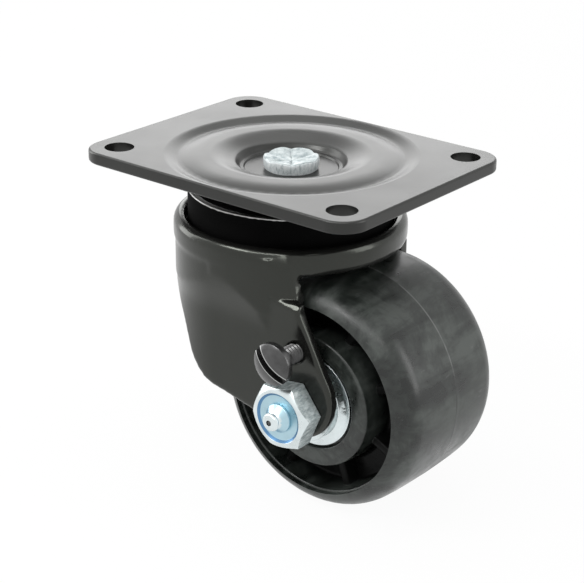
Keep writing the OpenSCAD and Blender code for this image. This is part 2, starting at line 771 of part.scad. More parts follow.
// Grease nipple: stepped body with a rounded tip and a feed hole that a small ball closes.
module grease_nipple() {
    color(zinc) along_y(trail, dish_y, axle_z) rotate([180, 0, 0]) difference() {
        rotate_extrude() polygon([
            [0, -nipple_thread_l], [nipple_thread_r, -nipple_thread_l], [nipple_thread_r, 0],
            [nipple_r, 0], [nipple_r, nipple_l * 0.14], [nipple_r * 0.89, nipple_l * 0.22],
            [nipple_r * 0.57, nipple_l * 0.5], [nipple_r * 0.5, nipple_l * 0.6],
            [nipple_r * 0.65, nipple_l * 0.78], [nipple_r * 0.57, nipple_l * 0.92],
            [nipple_r * 0.39, nipple_l], [0, nipple_l]
        ]);
        translate([0, 0, nipple_l - nipple_seat]) cylinder(r = nipple_ball_r, h = nipple_seat + cut);
        translate([0, 0, -nipple_thread_l - cut])
            cylinder(r = nipple_ball_r * 0.78, h = nipple_thread_l + nipple_l);
    }
}

module nipple_ball() {
    color(bearing_steel) translate([trail, dish_y - nipple_l + nipple_seat - nipple_ball_r * 0.4, axle_z])
        sphere(nipple_ball_r * 0.9, $fn = 24);
}

module nut_washer() {
    color(zinc) along_y(trail, leg_y, axle_z) difference() {
        cylinder(r = nut_washer_r, h = nut_washer_t);
        translate([0, 0, -cut]) cylinder(r = axle_d / 2 + bolt_play, h = nut_washer_t + 2 * cut);
    }
}

// Lock nut: hexagon with a rounded crown that holds a plastic insert.
module lock_nut() {
    crown_r = head_r * sqrt(3) / 2 - 0.6;
    insert_r = axle_d / 2 + 1.8;
    color(zinc) along_y(trail, nut_y, axle_z) difference() {
        union() {
            hex_head(head_r, nut_h, 20);
            rotate_extrude() polygon(concat(
                [[0, 0.5], [crown_r, 0.5]],
                arc(crown_r - 1.4, nut_h + nut_crown_h - 1.4, 1.4, 0, 90, 6),
                [[0, nut_h + nut_crown_h]]
            ));
        }
        translate([0, 0, -cut]) cylinder(r = axle_d / 2 + running_play, h = nut_h + nut_crown_h + 2 * cut);
        translate([0, 0, nut_h]) cylinder(r = insert_r, h = nut_crown_h - 0.8);
    }
}

module lock_nut_insert() {
    insert_r = axle_d / 2 + 1.8;
    color(nylon) along_y(trail, nut_y + nut_h, axle_z) difference() {
        cylinder(r = insert_r - running_play, h = nut_crown_h - 0.9);
        translate([0, 0, -cut]) cylinder(r = axle_d / 2 + running_play, h = nut_crown_h + 2 * cut);
    }
}

// Brake screw: slotted dome head outside the leg, thread through it, small pin for the friction pad.
module brake_screw() {
    head_r = brake_head_d / 2;
    ball = (head_r * head_r + brake_dome_h * brake_dome_h) / (2 * brake_dome_h);
    half = asin(head_r / ball);
    color(black_oxide) along_y(brake_x, brake_under_y, brake_z) difference() {
        union() {
            rotate([180, 0, 0]) difference() {
                rotate_extrude() polygon(concat(
                    [[0, 0], [head_r - 0.3, 0], [head_r, 0.3]],
                    arc(0, brake_side_h + brake_dome_h - ball, ball, 90 - half, 90, 10)
                ));
                rotate([0, 0, -slot_angle])
                    translate([-head_r - cut, -slot_w / 2, brake_side_h + brake_dome_h - slot_depth])
                        cube([2 * head_r + 2 * cut, slot_w, slot_depth + cut]);
            }
            translate([0, 0, -cut]) cylinder(d = brake_d, h = pad_back_y - brake_under_y + cut);
        }
        translate([0, 0, pad_back_y - brake_under_y - pin_l])
            cylinder(r = pin_r + running_play, h = pin_l + cut);
    }
}

// Friction pad: a disc whose stub turns in the end of the brake screw.
module brake_pad() {
    color(nylon) along_y(brake_x, pad_back_y + running_play, brake_z) {
        cylinder(r = pad_r, h = pad_t - running_play);
        translate([0, 0, 0.3 - pin_l]) cylinder(r = pin_r, h = pin_l);
    }
}

top_plate();
king_pin();
upper_race();
swivel_balls();
lower_race();
pilot_balls();
fork();
wheel();
bearing_rollers();
roller_cage();
axle_sleeve();
thrust_washer_near();
thrust_washer_far();
axle_bolt();
grease_nipple();
nipple_ball();
lock_nut();
lock_nut_insert();
nut_washer();
brake_screw();
brake_pad();
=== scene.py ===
import json
import math

import bmesh
import bpy
from mathutils import Matrix, Vector


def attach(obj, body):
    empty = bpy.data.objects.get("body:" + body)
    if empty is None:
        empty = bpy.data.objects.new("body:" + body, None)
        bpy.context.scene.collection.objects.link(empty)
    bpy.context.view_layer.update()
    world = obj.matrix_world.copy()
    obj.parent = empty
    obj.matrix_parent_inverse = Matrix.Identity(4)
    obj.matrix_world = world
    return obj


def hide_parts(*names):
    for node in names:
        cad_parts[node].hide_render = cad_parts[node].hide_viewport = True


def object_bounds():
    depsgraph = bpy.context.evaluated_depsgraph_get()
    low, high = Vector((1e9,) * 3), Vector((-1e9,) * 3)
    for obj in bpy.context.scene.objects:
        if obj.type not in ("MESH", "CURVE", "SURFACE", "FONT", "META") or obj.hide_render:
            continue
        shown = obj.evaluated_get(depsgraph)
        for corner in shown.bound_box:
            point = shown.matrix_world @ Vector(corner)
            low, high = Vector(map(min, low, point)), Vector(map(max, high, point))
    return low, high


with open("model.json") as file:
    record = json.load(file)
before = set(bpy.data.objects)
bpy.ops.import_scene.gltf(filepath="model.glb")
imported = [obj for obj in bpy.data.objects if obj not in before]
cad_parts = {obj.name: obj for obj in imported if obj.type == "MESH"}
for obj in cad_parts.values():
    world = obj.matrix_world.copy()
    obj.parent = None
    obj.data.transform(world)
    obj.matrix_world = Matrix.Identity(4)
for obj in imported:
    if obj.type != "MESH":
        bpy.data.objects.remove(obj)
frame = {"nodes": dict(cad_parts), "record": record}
cad_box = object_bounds()
NODES = frame["nodes"]
BODY_OF = {n: b for b, ns in frame["record"]["behaviour"]["bodies"].items() for n in ns}
MM = 0.001

# Sizes in millimetres, in the part's own frame.
TRAIL = 28.5
AXLE_Z = -68.6
LEG_Y = 33.4
LEDGE_X = 20.5
LEDGE_Z = -34.0
LEDGE_REACH = 11.0
LEDGE_FACING = (0.09, -0.74, 0.665)
NOTCH_X = 22.5
NOTCH_Y = 31.0
NOTCH_Z = -26.6
NOTCH_REACH = 6.2
NOTCH_PASSES = 60
FORK_VOXEL = 0.55
FORK_PASSES = 7
HEAD_AF = 19.5
HEAD_H = 7.5
HEAD_ANGLE = 8.0
DISH_R = 8.2
DISH_Y = -40.0
BRAKE_X = 28.7
BRAKE_Z = -49.3
BRAKE_UNDER_Y = -42.0
BRAKE_TIP_Y = -28.2
BRAKE_R = 3.1
PITCH = 1.27
SLOT_W = 2.2
SLOT_ANGLE = 39.0
SLOT_FLOOR_Y = -43.8


# Materials

class Graph:
    """Short names for the nodes of one material."""

    def __init__(self, name):
        self.mat = bpy.data.materials.new(name)
        self.mat.use_nodes = True
        self.tree = self.mat.node_tree
        self.bsdf = next(n for n in self.tree.nodes if n.type == "BSDF_PRINCIPLED")
        self.coord = self.tree.nodes.new("ShaderNodeTexCoord").outputs["Object"]

    def node(self, kind, **values):
        made = self.tree.nodes.new(kind)
        for key, value in values.items():
            setattr(made, key, value)
        return made

    def link(self, a, b):
        self.tree.links.new(a, b)

    def stretched(self, x, y, z):
        mapping = self.node("ShaderNodeMapping")
        mapping.inputs["Scale"].default_value = (x, y, z)
        self.link(self.coord, mapping.inputs["Vector"])
        return mapping.outputs["Vector"]

    def noise(self, scale, detail=3.0, rough=0.55, vector=None, distortion=0.0):
        tex = self.node("ShaderNodeTexNoise")
        tex.inputs["Scale"].default_value = scale
        tex.inputs["Detail"].default_value = detail
        tex.inputs["Roughness"].default_value = rough
        tex.inputs["Distortion"].default_value = distortion
        self.link(vector or self.coord, tex.inputs["Vector"])
        return tex.outputs["Fac"]

    def remap(self, value, a, b, low, high):
        made = self.node("ShaderNodeMapRange")
        made.inputs["From Min"].default_value = a
        made.inputs["From Max"].default_value = b
        made.inputs["To Min"].default_value = low
        made.inputs["To Max"].default_value = high
        self.link(value, made.inputs["Value"])
        return made.outputs["Result"]

    def math(self, op, a, b):
        made = self.node("ShaderNodeMath", operation=op)
        for socket, value in zip(made.inputs, (a, b)):
            if isinstance(value, (int, float)):
                socket.default_value = value
            else:
                self.link(value, socket)
        return made.outputs["Value"]

    def ramp(self, value, *stops):
        made = self.node("ShaderNodeValToRGB")
        elements = made.color_ramp.elements
        while len(elements) < len(stops):
            elements.new(0.5)
        for element, (place, colour) in zip(elements, stops):
            element.position = place
            element.color = (*colour, 1.0)
        self.link(value, made.inputs["Fac"])
        return made.outputs["Color"]

    def mix(self, factor, a, b):
        made = self.node("ShaderNodeMix", data_type="RGBA")
        self.link(factor, made.inputs["Factor"])
        for socket, value in ((made.inputs[6], a), (made.inputs[7], b)):
            if isinstance(value, tuple):
                socket.default_value = (*value, 1.0)
            else:
                self.link(value, socket)
        return made.outputs[2]

    def bump(self, height, strength, distance):
        made = self.node("ShaderNodeBump")
        made.inputs["Strength"].default_value = strength
        made.inputs["Distance"].default_value = distance
        self.link(height, made.inputs["Height"])
        self.link(made.outputs["Normal"], self.bsdf.inputs["Normal"])

    def about_axle(self):
        """Distance from the axle, distance along it from the wheel's middle, and height above it."""
        moved = self.node("ShaderNodeVectorMath", operation="SUBTRACT")
        moved.inputs[1].default_value = (TRAIL * MM, 0.0, AXLE_Z * MM)
        self.link(self.coord, moved.inputs[0])
        flat = self.node("ShaderNodeVectorMath", operation="MULTIPLY")
        flat.inputs[1].default_value = (1.0, 0.0, 1.0)
        self.link(moved.outputs["Vector"], flat.inputs[0])
        radius = self.node("ShaderNodeVectorMath", operation="LENGTH")
        self.link(flat.outputs["Vector"], radius.inputs[0])
        split = self.node("ShaderNodeSeparateXYZ")
        self.link(moved.outputs["Vector"], split.inputs["Vector"])
        along = self.math("ABSOLUTE", split.outputs["Y"], 0.0)
        return radius.outputs["Value"], along, split.outputs["Z"]

    def set(self, **values):
        for key, value in values.items():
            socket = self.bsdf.inputs[key.replace("_", " ")]
            if isinstance(value, (int, float)):
                socket.default_value = value
            elif isinstance(value, tuple):
                socket.default_value = (*value, 1.0)
            else:
                self.link(value, socket)


def black_paint(name, rough, peel_strength, tint):
    """Black paint with a faint orange peel, cloudy gloss and a few pale specks of dust."""
    g = Graph(name)
    cloud = g.noise(38, 5)
    peel = g.noise(900, 2)
    specks = g.noise(2600, 1)
    base = g.ramp(cloud, (0.3, (0.0060, 0.0060, 0.0056)), (0.75, (0.0105, 0.0105, 0.0098)))
    dust = g.remap(specks, 0.74, 0.80, 0.0, 0.30)
    g.set(
        Base_Color=g.mix(dust, base, (0.05, 0.05, 0.048)),
        Roughness=g.remap(cloud, 0.3, 0.75, rough, rough + 0.08),
        Specular_IOR_Level=0.5,
        Specular_Tint=tint,
    )
    g.bump(peel, peel_strength, 0.00006)
    return g.mat


def race_paint_shaded():
    """Black paint made nearly black and matte as painted shade under the plate, turning to bright metal
    at the top rim.
    """
    dark_top_z, bright_rim_from_z = -11.05 * MM, -10.85 * MM
    g = Graph("race_paint_painted_shade")
    cloud = g.noise(60, 4)
    split = g.node("ShaderNodeSeparateXYZ")
    g.link(g.coord, split.inputs["Vector"])
    fray = g.math("MULTIPLY", g.math("SUBTRACT", g.noise(700, 3), 0.5), 0.0006)
    height = g.math("ADD", split.outputs["Z"], fray)
    bright_rim = g.remap(height, dark_top_z, bright_rim_from_z, 0.0, 1.0)
    # Painted shade: the paint is nearly black and reflects little, standing in for the shade under the
    # plate.
    base = g.ramp(cloud, (0.3, (0.0018, 0.0018, 0.0018)), (0.75, (0.0034, 0.0034, 0.0034)))
    g.set(
        Base_Color=g.mix(bright_rim, base, (0.42, 0.42, 0.41)),
        Metallic=bright_rim,
        Roughness=g.remap(bright_rim, 0.0, 1.0, 0.75, 0.32),
        Specular_IOR_Level=0.03,
    )
    g.bump(g.noise(1400, 2), 0.08, 0.00006)
    return g.mat


def zinc(name, tint, rough, patch):
    """Bright zinc plating with faintly darker patches and a fine grain."""
    g = Graph(name)
    cloud = g.noise(150, 5)
    grain = g.noise(2400, 3, vector=g.stretched(1.0, 0.35, 1.0))
    dark = tuple(c * patch for c in tint)
    g.set(
        Base_Color=g.ramp(cloud, (0.32, dark), (0.66, tint)),
        Metallic=1.0,
        Roughness=g.remap(cloud, 0.3, 0.72, rough, rough + 0.14),
    )
    g.bump(grain, 0.16, 0.00004)
    return g.mat


def rough_zinc(name, scale, stretch, dark, mid, light, metallic):
    """Zinc over forged or torn steel: dull grey with brighter streaks."""
    g = Graph(name)
    torn = g.noise(scale, 6, 0.7, vector=g.stretched(*stretch))
    g.set(
        Base_Color=g.ramp(torn, (0.36, dark), (0.50, mid), (0.64, light)),
        Metallic=metallic,
        Roughness=g.remap(torn, 0.35, 0.65, 0.60, 0.38),
    )
    g.bump(torn, 0.35, 0.00018)
    return g.mat


def wheel_plastic():
    """Cloudy moulded plastic, scuffed and paler in patches low on the tread, with a seam lighter
    towards the top as a painted highlight, and painted shade in the side recesses.
    """
    boss_r, recess_r, shoulder_r, tread_r = 22.4, 30.55, 34.5, 37.2
    seam_half, seam_fade = 0.12, 0.40
    recess_shade = 0.93
    g = Graph("wheel_moulded_grey")
    radius, along, height = g.about_axle()
    cloud = g.noise(60, 7, 0.68, distortion=0.5)
    flow = g.noise(170, 5, vector=g.stretched(1.0, 0.16, 1.0), distortion=0.8)
    tone = g.math("ADD", g.math("MULTIPLY", cloud, 0.62), g.math("MULTIPLY", flow, 0.38))
    base = g.ramp(
        tone,
        (0.42, (0.009, 0.011, 0.0098)),
        (0.50, (0.023, 0.0276, 0.0244)),
        (0.59, (0.058, 0.066, 0.060)),
    )
    scratches = g.noise(420, 5, 0.7, vector=g.stretched(1.0, 0.25, 1.0))
    scuffed = g.mix(g.remap(scratches, 0.62, 0.74, 0.0, 0.55), base, (0.115, 0.12, 0.115))
    tread = g.remap(radius, shoulder_r * MM, (tread_r + 0.2) * MM, 0.0, 1.0)
    # The tread is made paler in patches towards its bottom.
    low = g.math("MULTIPLY", tread, g.remap(height, -4 * MM, -30 * MM, 0.0, 0.9))
    dust = g.math("MULTIPLY", low, g.remap(g.noise(130, 6, 0.72), 0.40, 0.58, 0.0, 1.0))
    paled_low = g.mix(dust, scuffed, (0.17, 0.18, 0.18))
    on_tread = g.remap(radius, (tread_r - 0.2) * MM, (tread_r + 0.2) * MM, 0.0, 1.0)
    line = g.math("MULTIPLY", on_tread, g.remap(along, seam_half * MM, seam_fade * MM, 1.0, 0.0))
    broken = g.remap(g.noise(110, 3), 0.40, 0.52, 0.15, 0.85)
    # The seam is a dark line that turns lighter towards the top of the wheel as a painted highlight.
    lit_top = g.remap(height, 4 * MM, 16 * MM, 0.0, 1.0)
    seam_dark_and_highlight = g.mix(lit_top, (0.010, 0.011, 0.010), (0.15, 0.155, 0.15))
    seamed = g.mix(g.math("MULTIPLY", line, broken), paled_low, seam_dark_and_highlight)
    # Painted shade: between the boss and the rim, the side recesses are painted near-black and reflect
    # little.
    past_boss = g.remap(radius, (boss_r - 0.3) * MM, (boss_r + 0.3) * MM, 0.0, 1.0)
    before_rim = g.remap(radius, (recess_r - 0.35) * MM, (recess_r + 0.35) * MM, recess_shade, 0.0)
    recess = g.math("MULTIPLY", past_boss, before_rim)
    g.set(
        Base_Color=g.mix(recess, seamed, (0.004, 0.004, 0.004)),
        Roughness=g.remap(tone, 0.42, 0.59, 0.26, 0.46),
        Specular_IOR_Level=g.remap(recess, 0.0, recess_shade, 0.5, 0.08),
    )
    g.bump(g.noise(700, 4), 0.18, 0.00010)
    return g.mat


def black_oxide(name, dark, light):
    """Oiled black oxide on steel, between a dark and a light grey."""
    g = Graph(name)
    cloud = g.noise(260, 4)
    g.set(
        Base_Color=g.ramp(cloud, (0.3, (dark, dark, dark)), (0.7, (light, light, light))),
        Metallic=0.8,
        Roughness=g.remap(cloud, 0.3, 0.7, 0.24, 0.36),
        Coat_Weight=0.3,
        Coat_Roughness=0.12,
    )
    g.bump(g.noise(2600, 3), 0.15, 0.00004)
    return g.mat


def slotted_oxide(name, dark, light):
    """Black oxide of the brake screw's head, with painted shade in the slot and painted highlights
    along its edges.
    """
    g = Graph(name)
    cloud = g.noise(260, 4)
    turn = math.radians(SLOT_ANGLE)
    split = g.node("ShaderNodeSeparateXYZ")
    g.link(g.coord, split.inputs["Vector"])
    across_x = g.math("MULTIPLY", g.math("SUBTRACT", split.outputs["X"], BRAKE_X * MM), math.sin(turn))
    across_z = g.math("MULTIPLY", g.math("SUBTRACT", split.outputs["Z"], BRAKE_Z * MM), math.cos(turn))
    off = g.math("ABSOLUTE", g.math("ADD", across_x, across_z), 0.0)
    front = g.remap(split.outputs["Y"], (SLOT_FLOOR_Y + 0.6) * MM, (SLOT_FLOOR_Y + 0.2) * MM, 0.0, 1.0)
    wall = SLOT_W / 2
    # Painted shade: the slot's floor and walls are painted near-black.
    slot_shade = g.math("MULTIPLY", front, g.remap(off, (wall + 0.02) * MM, (wall - 0.02) * MM, 0.0, 0.85))
    # Painted highlight: a bright band along each edge of the slot.
    outer = g.remap(off, (wall + 0.22) * MM, (wall + 0.40) * MM, 1.0, 0.0)
    inner = g.remap(off, wall * MM, (wall + 0.05) * MM, 0.0, 0.9)
    edge = g.math("MULTIPLY", g.math("MULTIPLY", front, outer), inner)
    base = g.ramp(cloud, (0.3, (dark, dark, dark)), (0.7, (light, light, light)))
    g.set(
        Base_Color=g.mix(slot_shade, g.mix(edge, base, (0.50, 0.51, 0.50)), (0.012, 0.012, 0.012)),
        Metallic=0.8,
        Roughness=g.remap(cloud, 0.3, 0.7, 0.24, 0.36),
        Coat_Weight=g.remap(slot_shade, 0.0, 0.85, 0.3, 0.0),
        Coat_Roughness=0.12,
    )
    g.bump(g.noise(2600, 3), 0.15, 0.00004)
    return g.mat


def bearing_steel():
    """Ground steel with fine grinding lines."""
    g = Graph("bearing_steel_ground")
    lines = g.noise(1800, 2, vector=g.stretched(0.1, 1.0, 1.0))
    g.set(
        Base_Color=g.ramp(lines, (0.3, (0.48, 0.48, 0.49)), (0.7, (0.60, 0.60, 0.61))),
        Metallic=1.0,
        Roughness=g.remap(lines, 0.3, 0.7, 0.16, 0.26),
    )
    return g.mat


def nylon():
    """Natural moulded nylon."""
    g = Graph("nylon_natural")
    cloud = g.noise(220, 4)
    g.set(
        Base_Color=g.ramp(cloud, (0.3, (0.60, 0.585, 0.52)), (0.7, (0.70, 0.69, 0.63))),
        Roughness=g.remap(cloud, 0.3, 0.7, 0.42, 0.55),
        Subsurface_Weight=0.08,
        Subsurface_Scale=0.001,
    )
    g.bump(g.noise(1600, 2), 0.1, 0.00005)
    return g.mat


PLATE_PAINT = black_paint("black_paint_satin", 0.28, 0.10, (0.985, 1.0, 0.97))
FORK_PAINT = black_paint("black_paint_gloss", 0.17, 0.08, (0.95, 1.0, 0.90))
# The race's paint is darkened as painted shade under the plate.
RACE_SHADED = race_paint_shaded()
ZINC = zinc("zinc_bright", (0.76, 0.83, 0.84), 0.22, 0.84)
ZINC_BLUE = zinc("zinc_bright_blue", (0.46, 0.65, 0.73), 0.24, 0.84)
# Darker blue zinc for the wall of the bolt face's dish, as painted shade.
ZINC_BLUE_SHADED = zinc("zinc_blue_painted_shade", (0.13, 0.27, 0.46), 0.30, 0.80)
# King pin crown: staked, torn zinc that is also painted darker as painted shade. Its flank: zinc
# painted pale and nearly non-metallic as painted light.
ZINC_CROWN_SHADED = rough_zinc(
    "zinc_staked_crown_painted_shade", 420, (1.0, 1.0, 1.0),
    (0.26, 0.31, 0.325), (0.41, 0.455, 0.46), (0.53, 0.575, 0.575), 0.50,
)
ZINC_FLANK_LIT = rough_zinc(
    "zinc_flank_painted_light", 900, (1.0, 1.0, 0.45),
    (0.46, 0.52, 0.53), (0.78, 0.83, 0.84), (0.90, 0.94, 0.94), 0.05,
)
ZINC_FORGED = rough_zinc(
    "zinc_forged_side", 800, (1.0, 0.4, 1.0),
    (0.21, 0.25, 0.255), (0.38, 0.435, 0.44), (0.60, 0.65, 0.65), 0.25,
)
WHEEL = wheel_plastic()
# Dark oxide used only as painted shade in the grease nipple's feed hole.
OXIDE_SHADE = black_oxide("black_oxide_painted_shade", 0.055, 0.10)
SLOTTED = slotted_oxide("black_oxide_slotted", 0.05, 0.09)
THREAD = black_oxide("black_oxide_worn", 0.025, 0.075)
STEEL = bearing_steel()
NYLON = nylon()


# Mesh helpers

def weigh_normals(made):
    """Lets the large faces set the shading, so that flat sheet stays flat up to its rounded edges."""
    modifier = made.modifiers.new("weighted", "WEIGHTED_NORMAL")
    modifier.keep_sharp = True
    shaded = made.evaluated_get(bpy.context.evaluated_depsgraph_get())
    made.data = bpy.data.meshes.new_from_object(shaded)
    made.modifiers.clear()


def add_object(name, bm, materials, node, sharp=50.0, weighted=False):
    """Turns a bmesh into a piece, smooth apart from edges sharper than the given angle."""
    mesh = bpy.data.meshes.new(name)
    bmesh.ops.recalc_face_normals(bm, faces=bm.faces)
    bm.to_mesh(mesh)
    bm.free()
    if "custom_normal" in mesh.attributes:
        mesh.attributes.remove(mesh.attributes["custom_normal"])
    for material in materials:
        mesh.materials.append(material)
    mesh.polygons.foreach_set("use_smooth", [True] * len(mesh.polygons))
    mesh.set_sharp_from_angle(angle=math.radians(sharp))
    made = bpy.data.objects.new(name, mesh)
    bpy.context.scene.collection.objects.link(made)
    if weighted:
        weigh_normals(made)
    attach(made, BODY_OF[node])
    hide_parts(node)
    return made


def cad_copy(node, keep=None):
    """A welded copy of a CAD node's mesh, or of the faces to keep, with flat faces merged."""
    bm = bmesh.new()
    bm.from_mesh(NODES[node].data)
    bmesh.ops.remove_doubles(bm, verts=bm.verts, dist=3e-6)
    bmesh.ops.dissolve_degenerate(bm, dist=2e-6, edges=bm.edges)
    if keep:
        away = [f for f in bm.faces if not keep(f)]
        bmesh.ops.delete(bm, geom=away, context="FACES")
    bmesh.ops.dissolve_limit(
        bm, angle_limit=math.radians(0.4), verts=bm.verts, edges=bm.edges,
        use_dissolve_boundaries=False,
    )
    for face in bm.faces:
        face.material_index = 0
    return bm


def round_edges(bm, width, angle=28.0, segments=2):
    """Rounds every edge sharper than the angle, by a width in millimetres."""
    limit = math.radians(angle)
    edges = [
        e for e in bm.edges
        if len(e.link_faces) == 2 and e.calc_face_angle(0.0) > limit
    ]
    bmesh.ops.bevel(
        bm, geom=edges, offset=width * MM, offset_type="OFFSET", segments=segments, profile=0.5,
        affect="EDGES", clamp_overlap=True, loop_slide=True, harden_normals=False,
    )


def dress(node, materials, width=0.3, segments=2, angle=28.0):
    """A piece with a CAD node's own shape and slightly rounded edges."""
    bm = cad_copy(node)
    round_edges(bm, width, angle, segments)
    return add_object(node + "_look", bm, materials, node, weighted=True)


def grid(bm, rows, closed_rows=False, material=0):
    """Faces between rows of points, each row closed round; one material, or one for each band."""
    made = [[bm.verts.new(Vector(p) * MM) for p in row] for row in rows]
    pairs = list(zip(made, made[1:]))
    if closed_rows:
        pairs.append((made[-1], made[0]))
    for band, (low, high) in enumerate(pairs):
        index = material if isinstance(material, int) else material[band]
        count = len(low)
        for i in range(count):
            j = (i + 1) % count
            bm.faces.new((low[i], low[j], high[j], high[i])).material_index = index
    return made


def round_y(r, y, segments, cx, cz):
    """A circle of points about an axis along Y."""
    angles = [2 * math.pi * i / segments for i in range(segments)]
    return [(cx + r * math.cos(t), y, cz + r * math.sin(t)) for t in angles]


def arc(cx, cy, r, start, end, n):
    """Points along an arc between two angles in degrees."""
    angles = [math.radians(start + (end - start) * i / n) for i in range(n + 1)]
    return [(cx + r * math.cos(t), cy + r * math.sin(t)) for t in angles]


# Plate and swivel head

dress("top_plate", [PLATE_PAINT], 0.25, 2, 40.0)
dress("upper_race", [RACE_SHADED], 0.2, 2, 35.0)


def king_pin():
    """King pin with a staked crown: six petals that rise towards the rim, with valleys between them."""
    base_z = -5.0
    bm = cad_copy("king_pin", keep=lambda f: f.calc_center_median().z < base_z * MM - 1e-5)
    round_edges(bm, 0.3)
    count = 216
    first_petal = math.radians(39.0)
    rim_mean_r, rim_mean_z, centre_z = 8.62, -1.75, -2.6
    flank_steps = ((0.0, 0.35), (0.25, 0.12), (0.55, 0.0), (0.82, 0.0), (0.94, 0.10))
    crown_steps = (0.90, 0.82, 0.72, 0.60, 0.48, 0.36, 0.24, 0.12, 0.05)
    rows = []

    def petal(t):
        return abs(math.cos(3 * (t - first_petal))) ** 0.75

    def jitter(t, k):
        waves = ((0.5, 5, 1.0), (0.3, 11, 2.3), (0.2, 17, 4.1))
        return sum(size * math.sin(times * t + shift * k) for size, times, shift in waves)

    angles = [2 * math.pi * i / count for i in range(count)]
    rim_r = [rim_mean_r + 0.24 * petal(t) + 0.07 * jitter(t, 1.0) for t in angles]
    rim_z = [rim_mean_z + 0.75 * petal(t) + 0.10 * jitter(t, 2.0) for t in angles]
    for f, pull in flank_steps:
        rows.append([
            ((r - pull) * math.cos(t), (r - pull) * math.sin(t), base_z + (z - base_z) * f)
            for t, r, z in zip(angles, rim_r, rim_z)
        ])
    rows.append([
        ((r - 0.35) * math.cos(t), (r - 0.35) * math.sin(t), z)
        for t, r, z in zip(angles, rim_r, rim_z)
    ])
    flank_rows = len(rows) - 1
    for s in crown_steps:
        row = []
        for t, r, z in zip(angles, rim_r, rim_z):
            valley = (1.0 - petal(t)) ** 2
            depth = 0.55 * valley * math.sin(math.pi * min(1.0, s * 1.05))
            height = centre_z + (z - centre_z) * s ** 1.25 - depth + 0.05 * s * jitter(t, 3.0 + s)
            row.append((r * s * math.cos(t), r * s * math.sin(t), height))
        rows.append(row)
    made = grid(bm, rows)
    bm.faces.new(made[-1])
    # The flank faces take the zinc painted pale as painted light, and the crown takes the zinc painted
    # darker as painted shade.
    flank = {v for row in made[:flank_rows] for v in row}
    for face in bm.faces:
        if all(v in flank for v in face.verts):
            face.material_index = 1
    return add_object("king_pin_look", bm, [ZINC_CROWN_SHADED, ZINC_FLANK_LIT], "king_pin")


king_pin()


# Fork

def soften(bm, verts, passes):
    """Moves points towards the mean of their neighbours, a number of times."""
    for _ in range(passes):
        bmesh.ops.smooth_vert(
            bm, verts=verts, factor=0.5, use_axis_x=True, use_axis_y=True, use_axis_z=True
        )


def drawn(node, material, voxel, passes, blends, filed):
    """A copy of a CAD node with its corners softened, as drawing leaves them, and edges filed flat."""
    mesh = bpy.data.meshes.new(node + "_solid")
    bm = cad_copy(node)
    bmesh.ops.triangulate(bm, faces=bm.faces)
    bm.to_mesh(mesh)
    bm.free()
    solid = bpy.data.objects.new(node + "_solid", mesh)
    bpy.context.scene.collection.objects.link(solid)
    modifier = solid.modifiers.new("voxels", "REMESH")
    modifier.mode = "VOXEL"
    modifier.voxel_size = voxel * MM
    modifier.adaptivity = 0.0
    remeshed = solid.evaluated_get(bpy.context.evaluated_depsgraph_get())
    even = bpy.data.meshes.new_from_object(remeshed)
    bpy.data.objects.remove(solid)
    bm = bmesh.new()
    bm.from_mesh(even)
    soften(bm, bm.verts, passes)
    for from_x, to_z, corner, normal in filed:
        facing = Vector(normal).normalized()
        for v in bm.verts:
            q = v.co / MM
            away = q - Vector(corner)
            above = away.dot(facing)
            if above > 0.0 and away.length < LEDGE_REACH and q.x > from_x and q.z < to_z:
                v.co -= facing * above * MM
    for place, reach, times in blends:
        soften(bm, [v for v in bm.verts if (v.co / MM - Vector(place)).length < reach], times)
    return add_object(node + "_look", bm, [material], node, sharp=80.0)


drawn(
    "fork", FORK_PAINT, FORK_VOXEL, FORK_PASSES,
    blends=[((NOTCH_X, side * NOTCH_Y, NOTCH_Z), NOTCH_REACH, NOTCH_PASSES) for side in (-1, 1)],
    filed=[(LEDGE_X - 1.5, LEDGE_Z + 0.3, (LEDGE_X, -LEG_Y, LEDGE_Z - 0.5), LEDGE_FACING)],
)


# Wheel

def wheel_profile():
    """Half section from the hub's bore out to the tread: radius and distance along the axle."""
    half = [(13.6, 0.0), (13.6, 22.2)]
    half += arc(14.0, 22.2, 0.4, 180, 90, 3)
    half += [(15.2, 22.6)]
    half += arc(15.5, 23.0, 0.4, 270, 360, 4)
    half += [(15.9, 24.4)]
    half += arc(16.5, 24.4, 0.6, 180, 90, 4)
    half += arc(21.0, 24.1, 0.9, 90, 0, 6)
    half += arc(24.0, 15.4, 1.4, 185, 270, 6)
    half += arc(29.2, 15.2, 1.2, 270, 355, 6)
    half += [(30.8, 21.6)]
    half += arc(31.4, 22.6, 0.7, 180, 100, 5)
    half += arc(27.5, 16.0, 10.0, 68, 4, 18)
    half += [(37.72, 13.0), (37.84, 9.0), (37.93, 5.0), (37.97, 2.0), (37.98, 0.6)]
    return half


def wheel():
    """Turned wheel with a raised parting line and eight ribs in each side recess."""
    side = wheel_profile()
    seam = [(38.0, 0.35), (38.0, -0.05)]
    far = side + seam
    near = [(r, -y) for r, y in reversed(side)]
    loop = far + near[:-1]
    count = 192
    ribs, first_rib = 8, 65
    bm = bmesh.new()
    rows = [round_y(r, y, count, TRAIL, AXLE_Z) for r, y in loop]
    grid(bm, rows, closed_rows=True)
    for end in (-1, 1):
        for i in range(ribs):
            rib(bm, math.radians(first_rib + 360 / ribs * i), end)
    return add_object("wheel_look", bm, [WHEEL], "wheel", sharp=38.0)


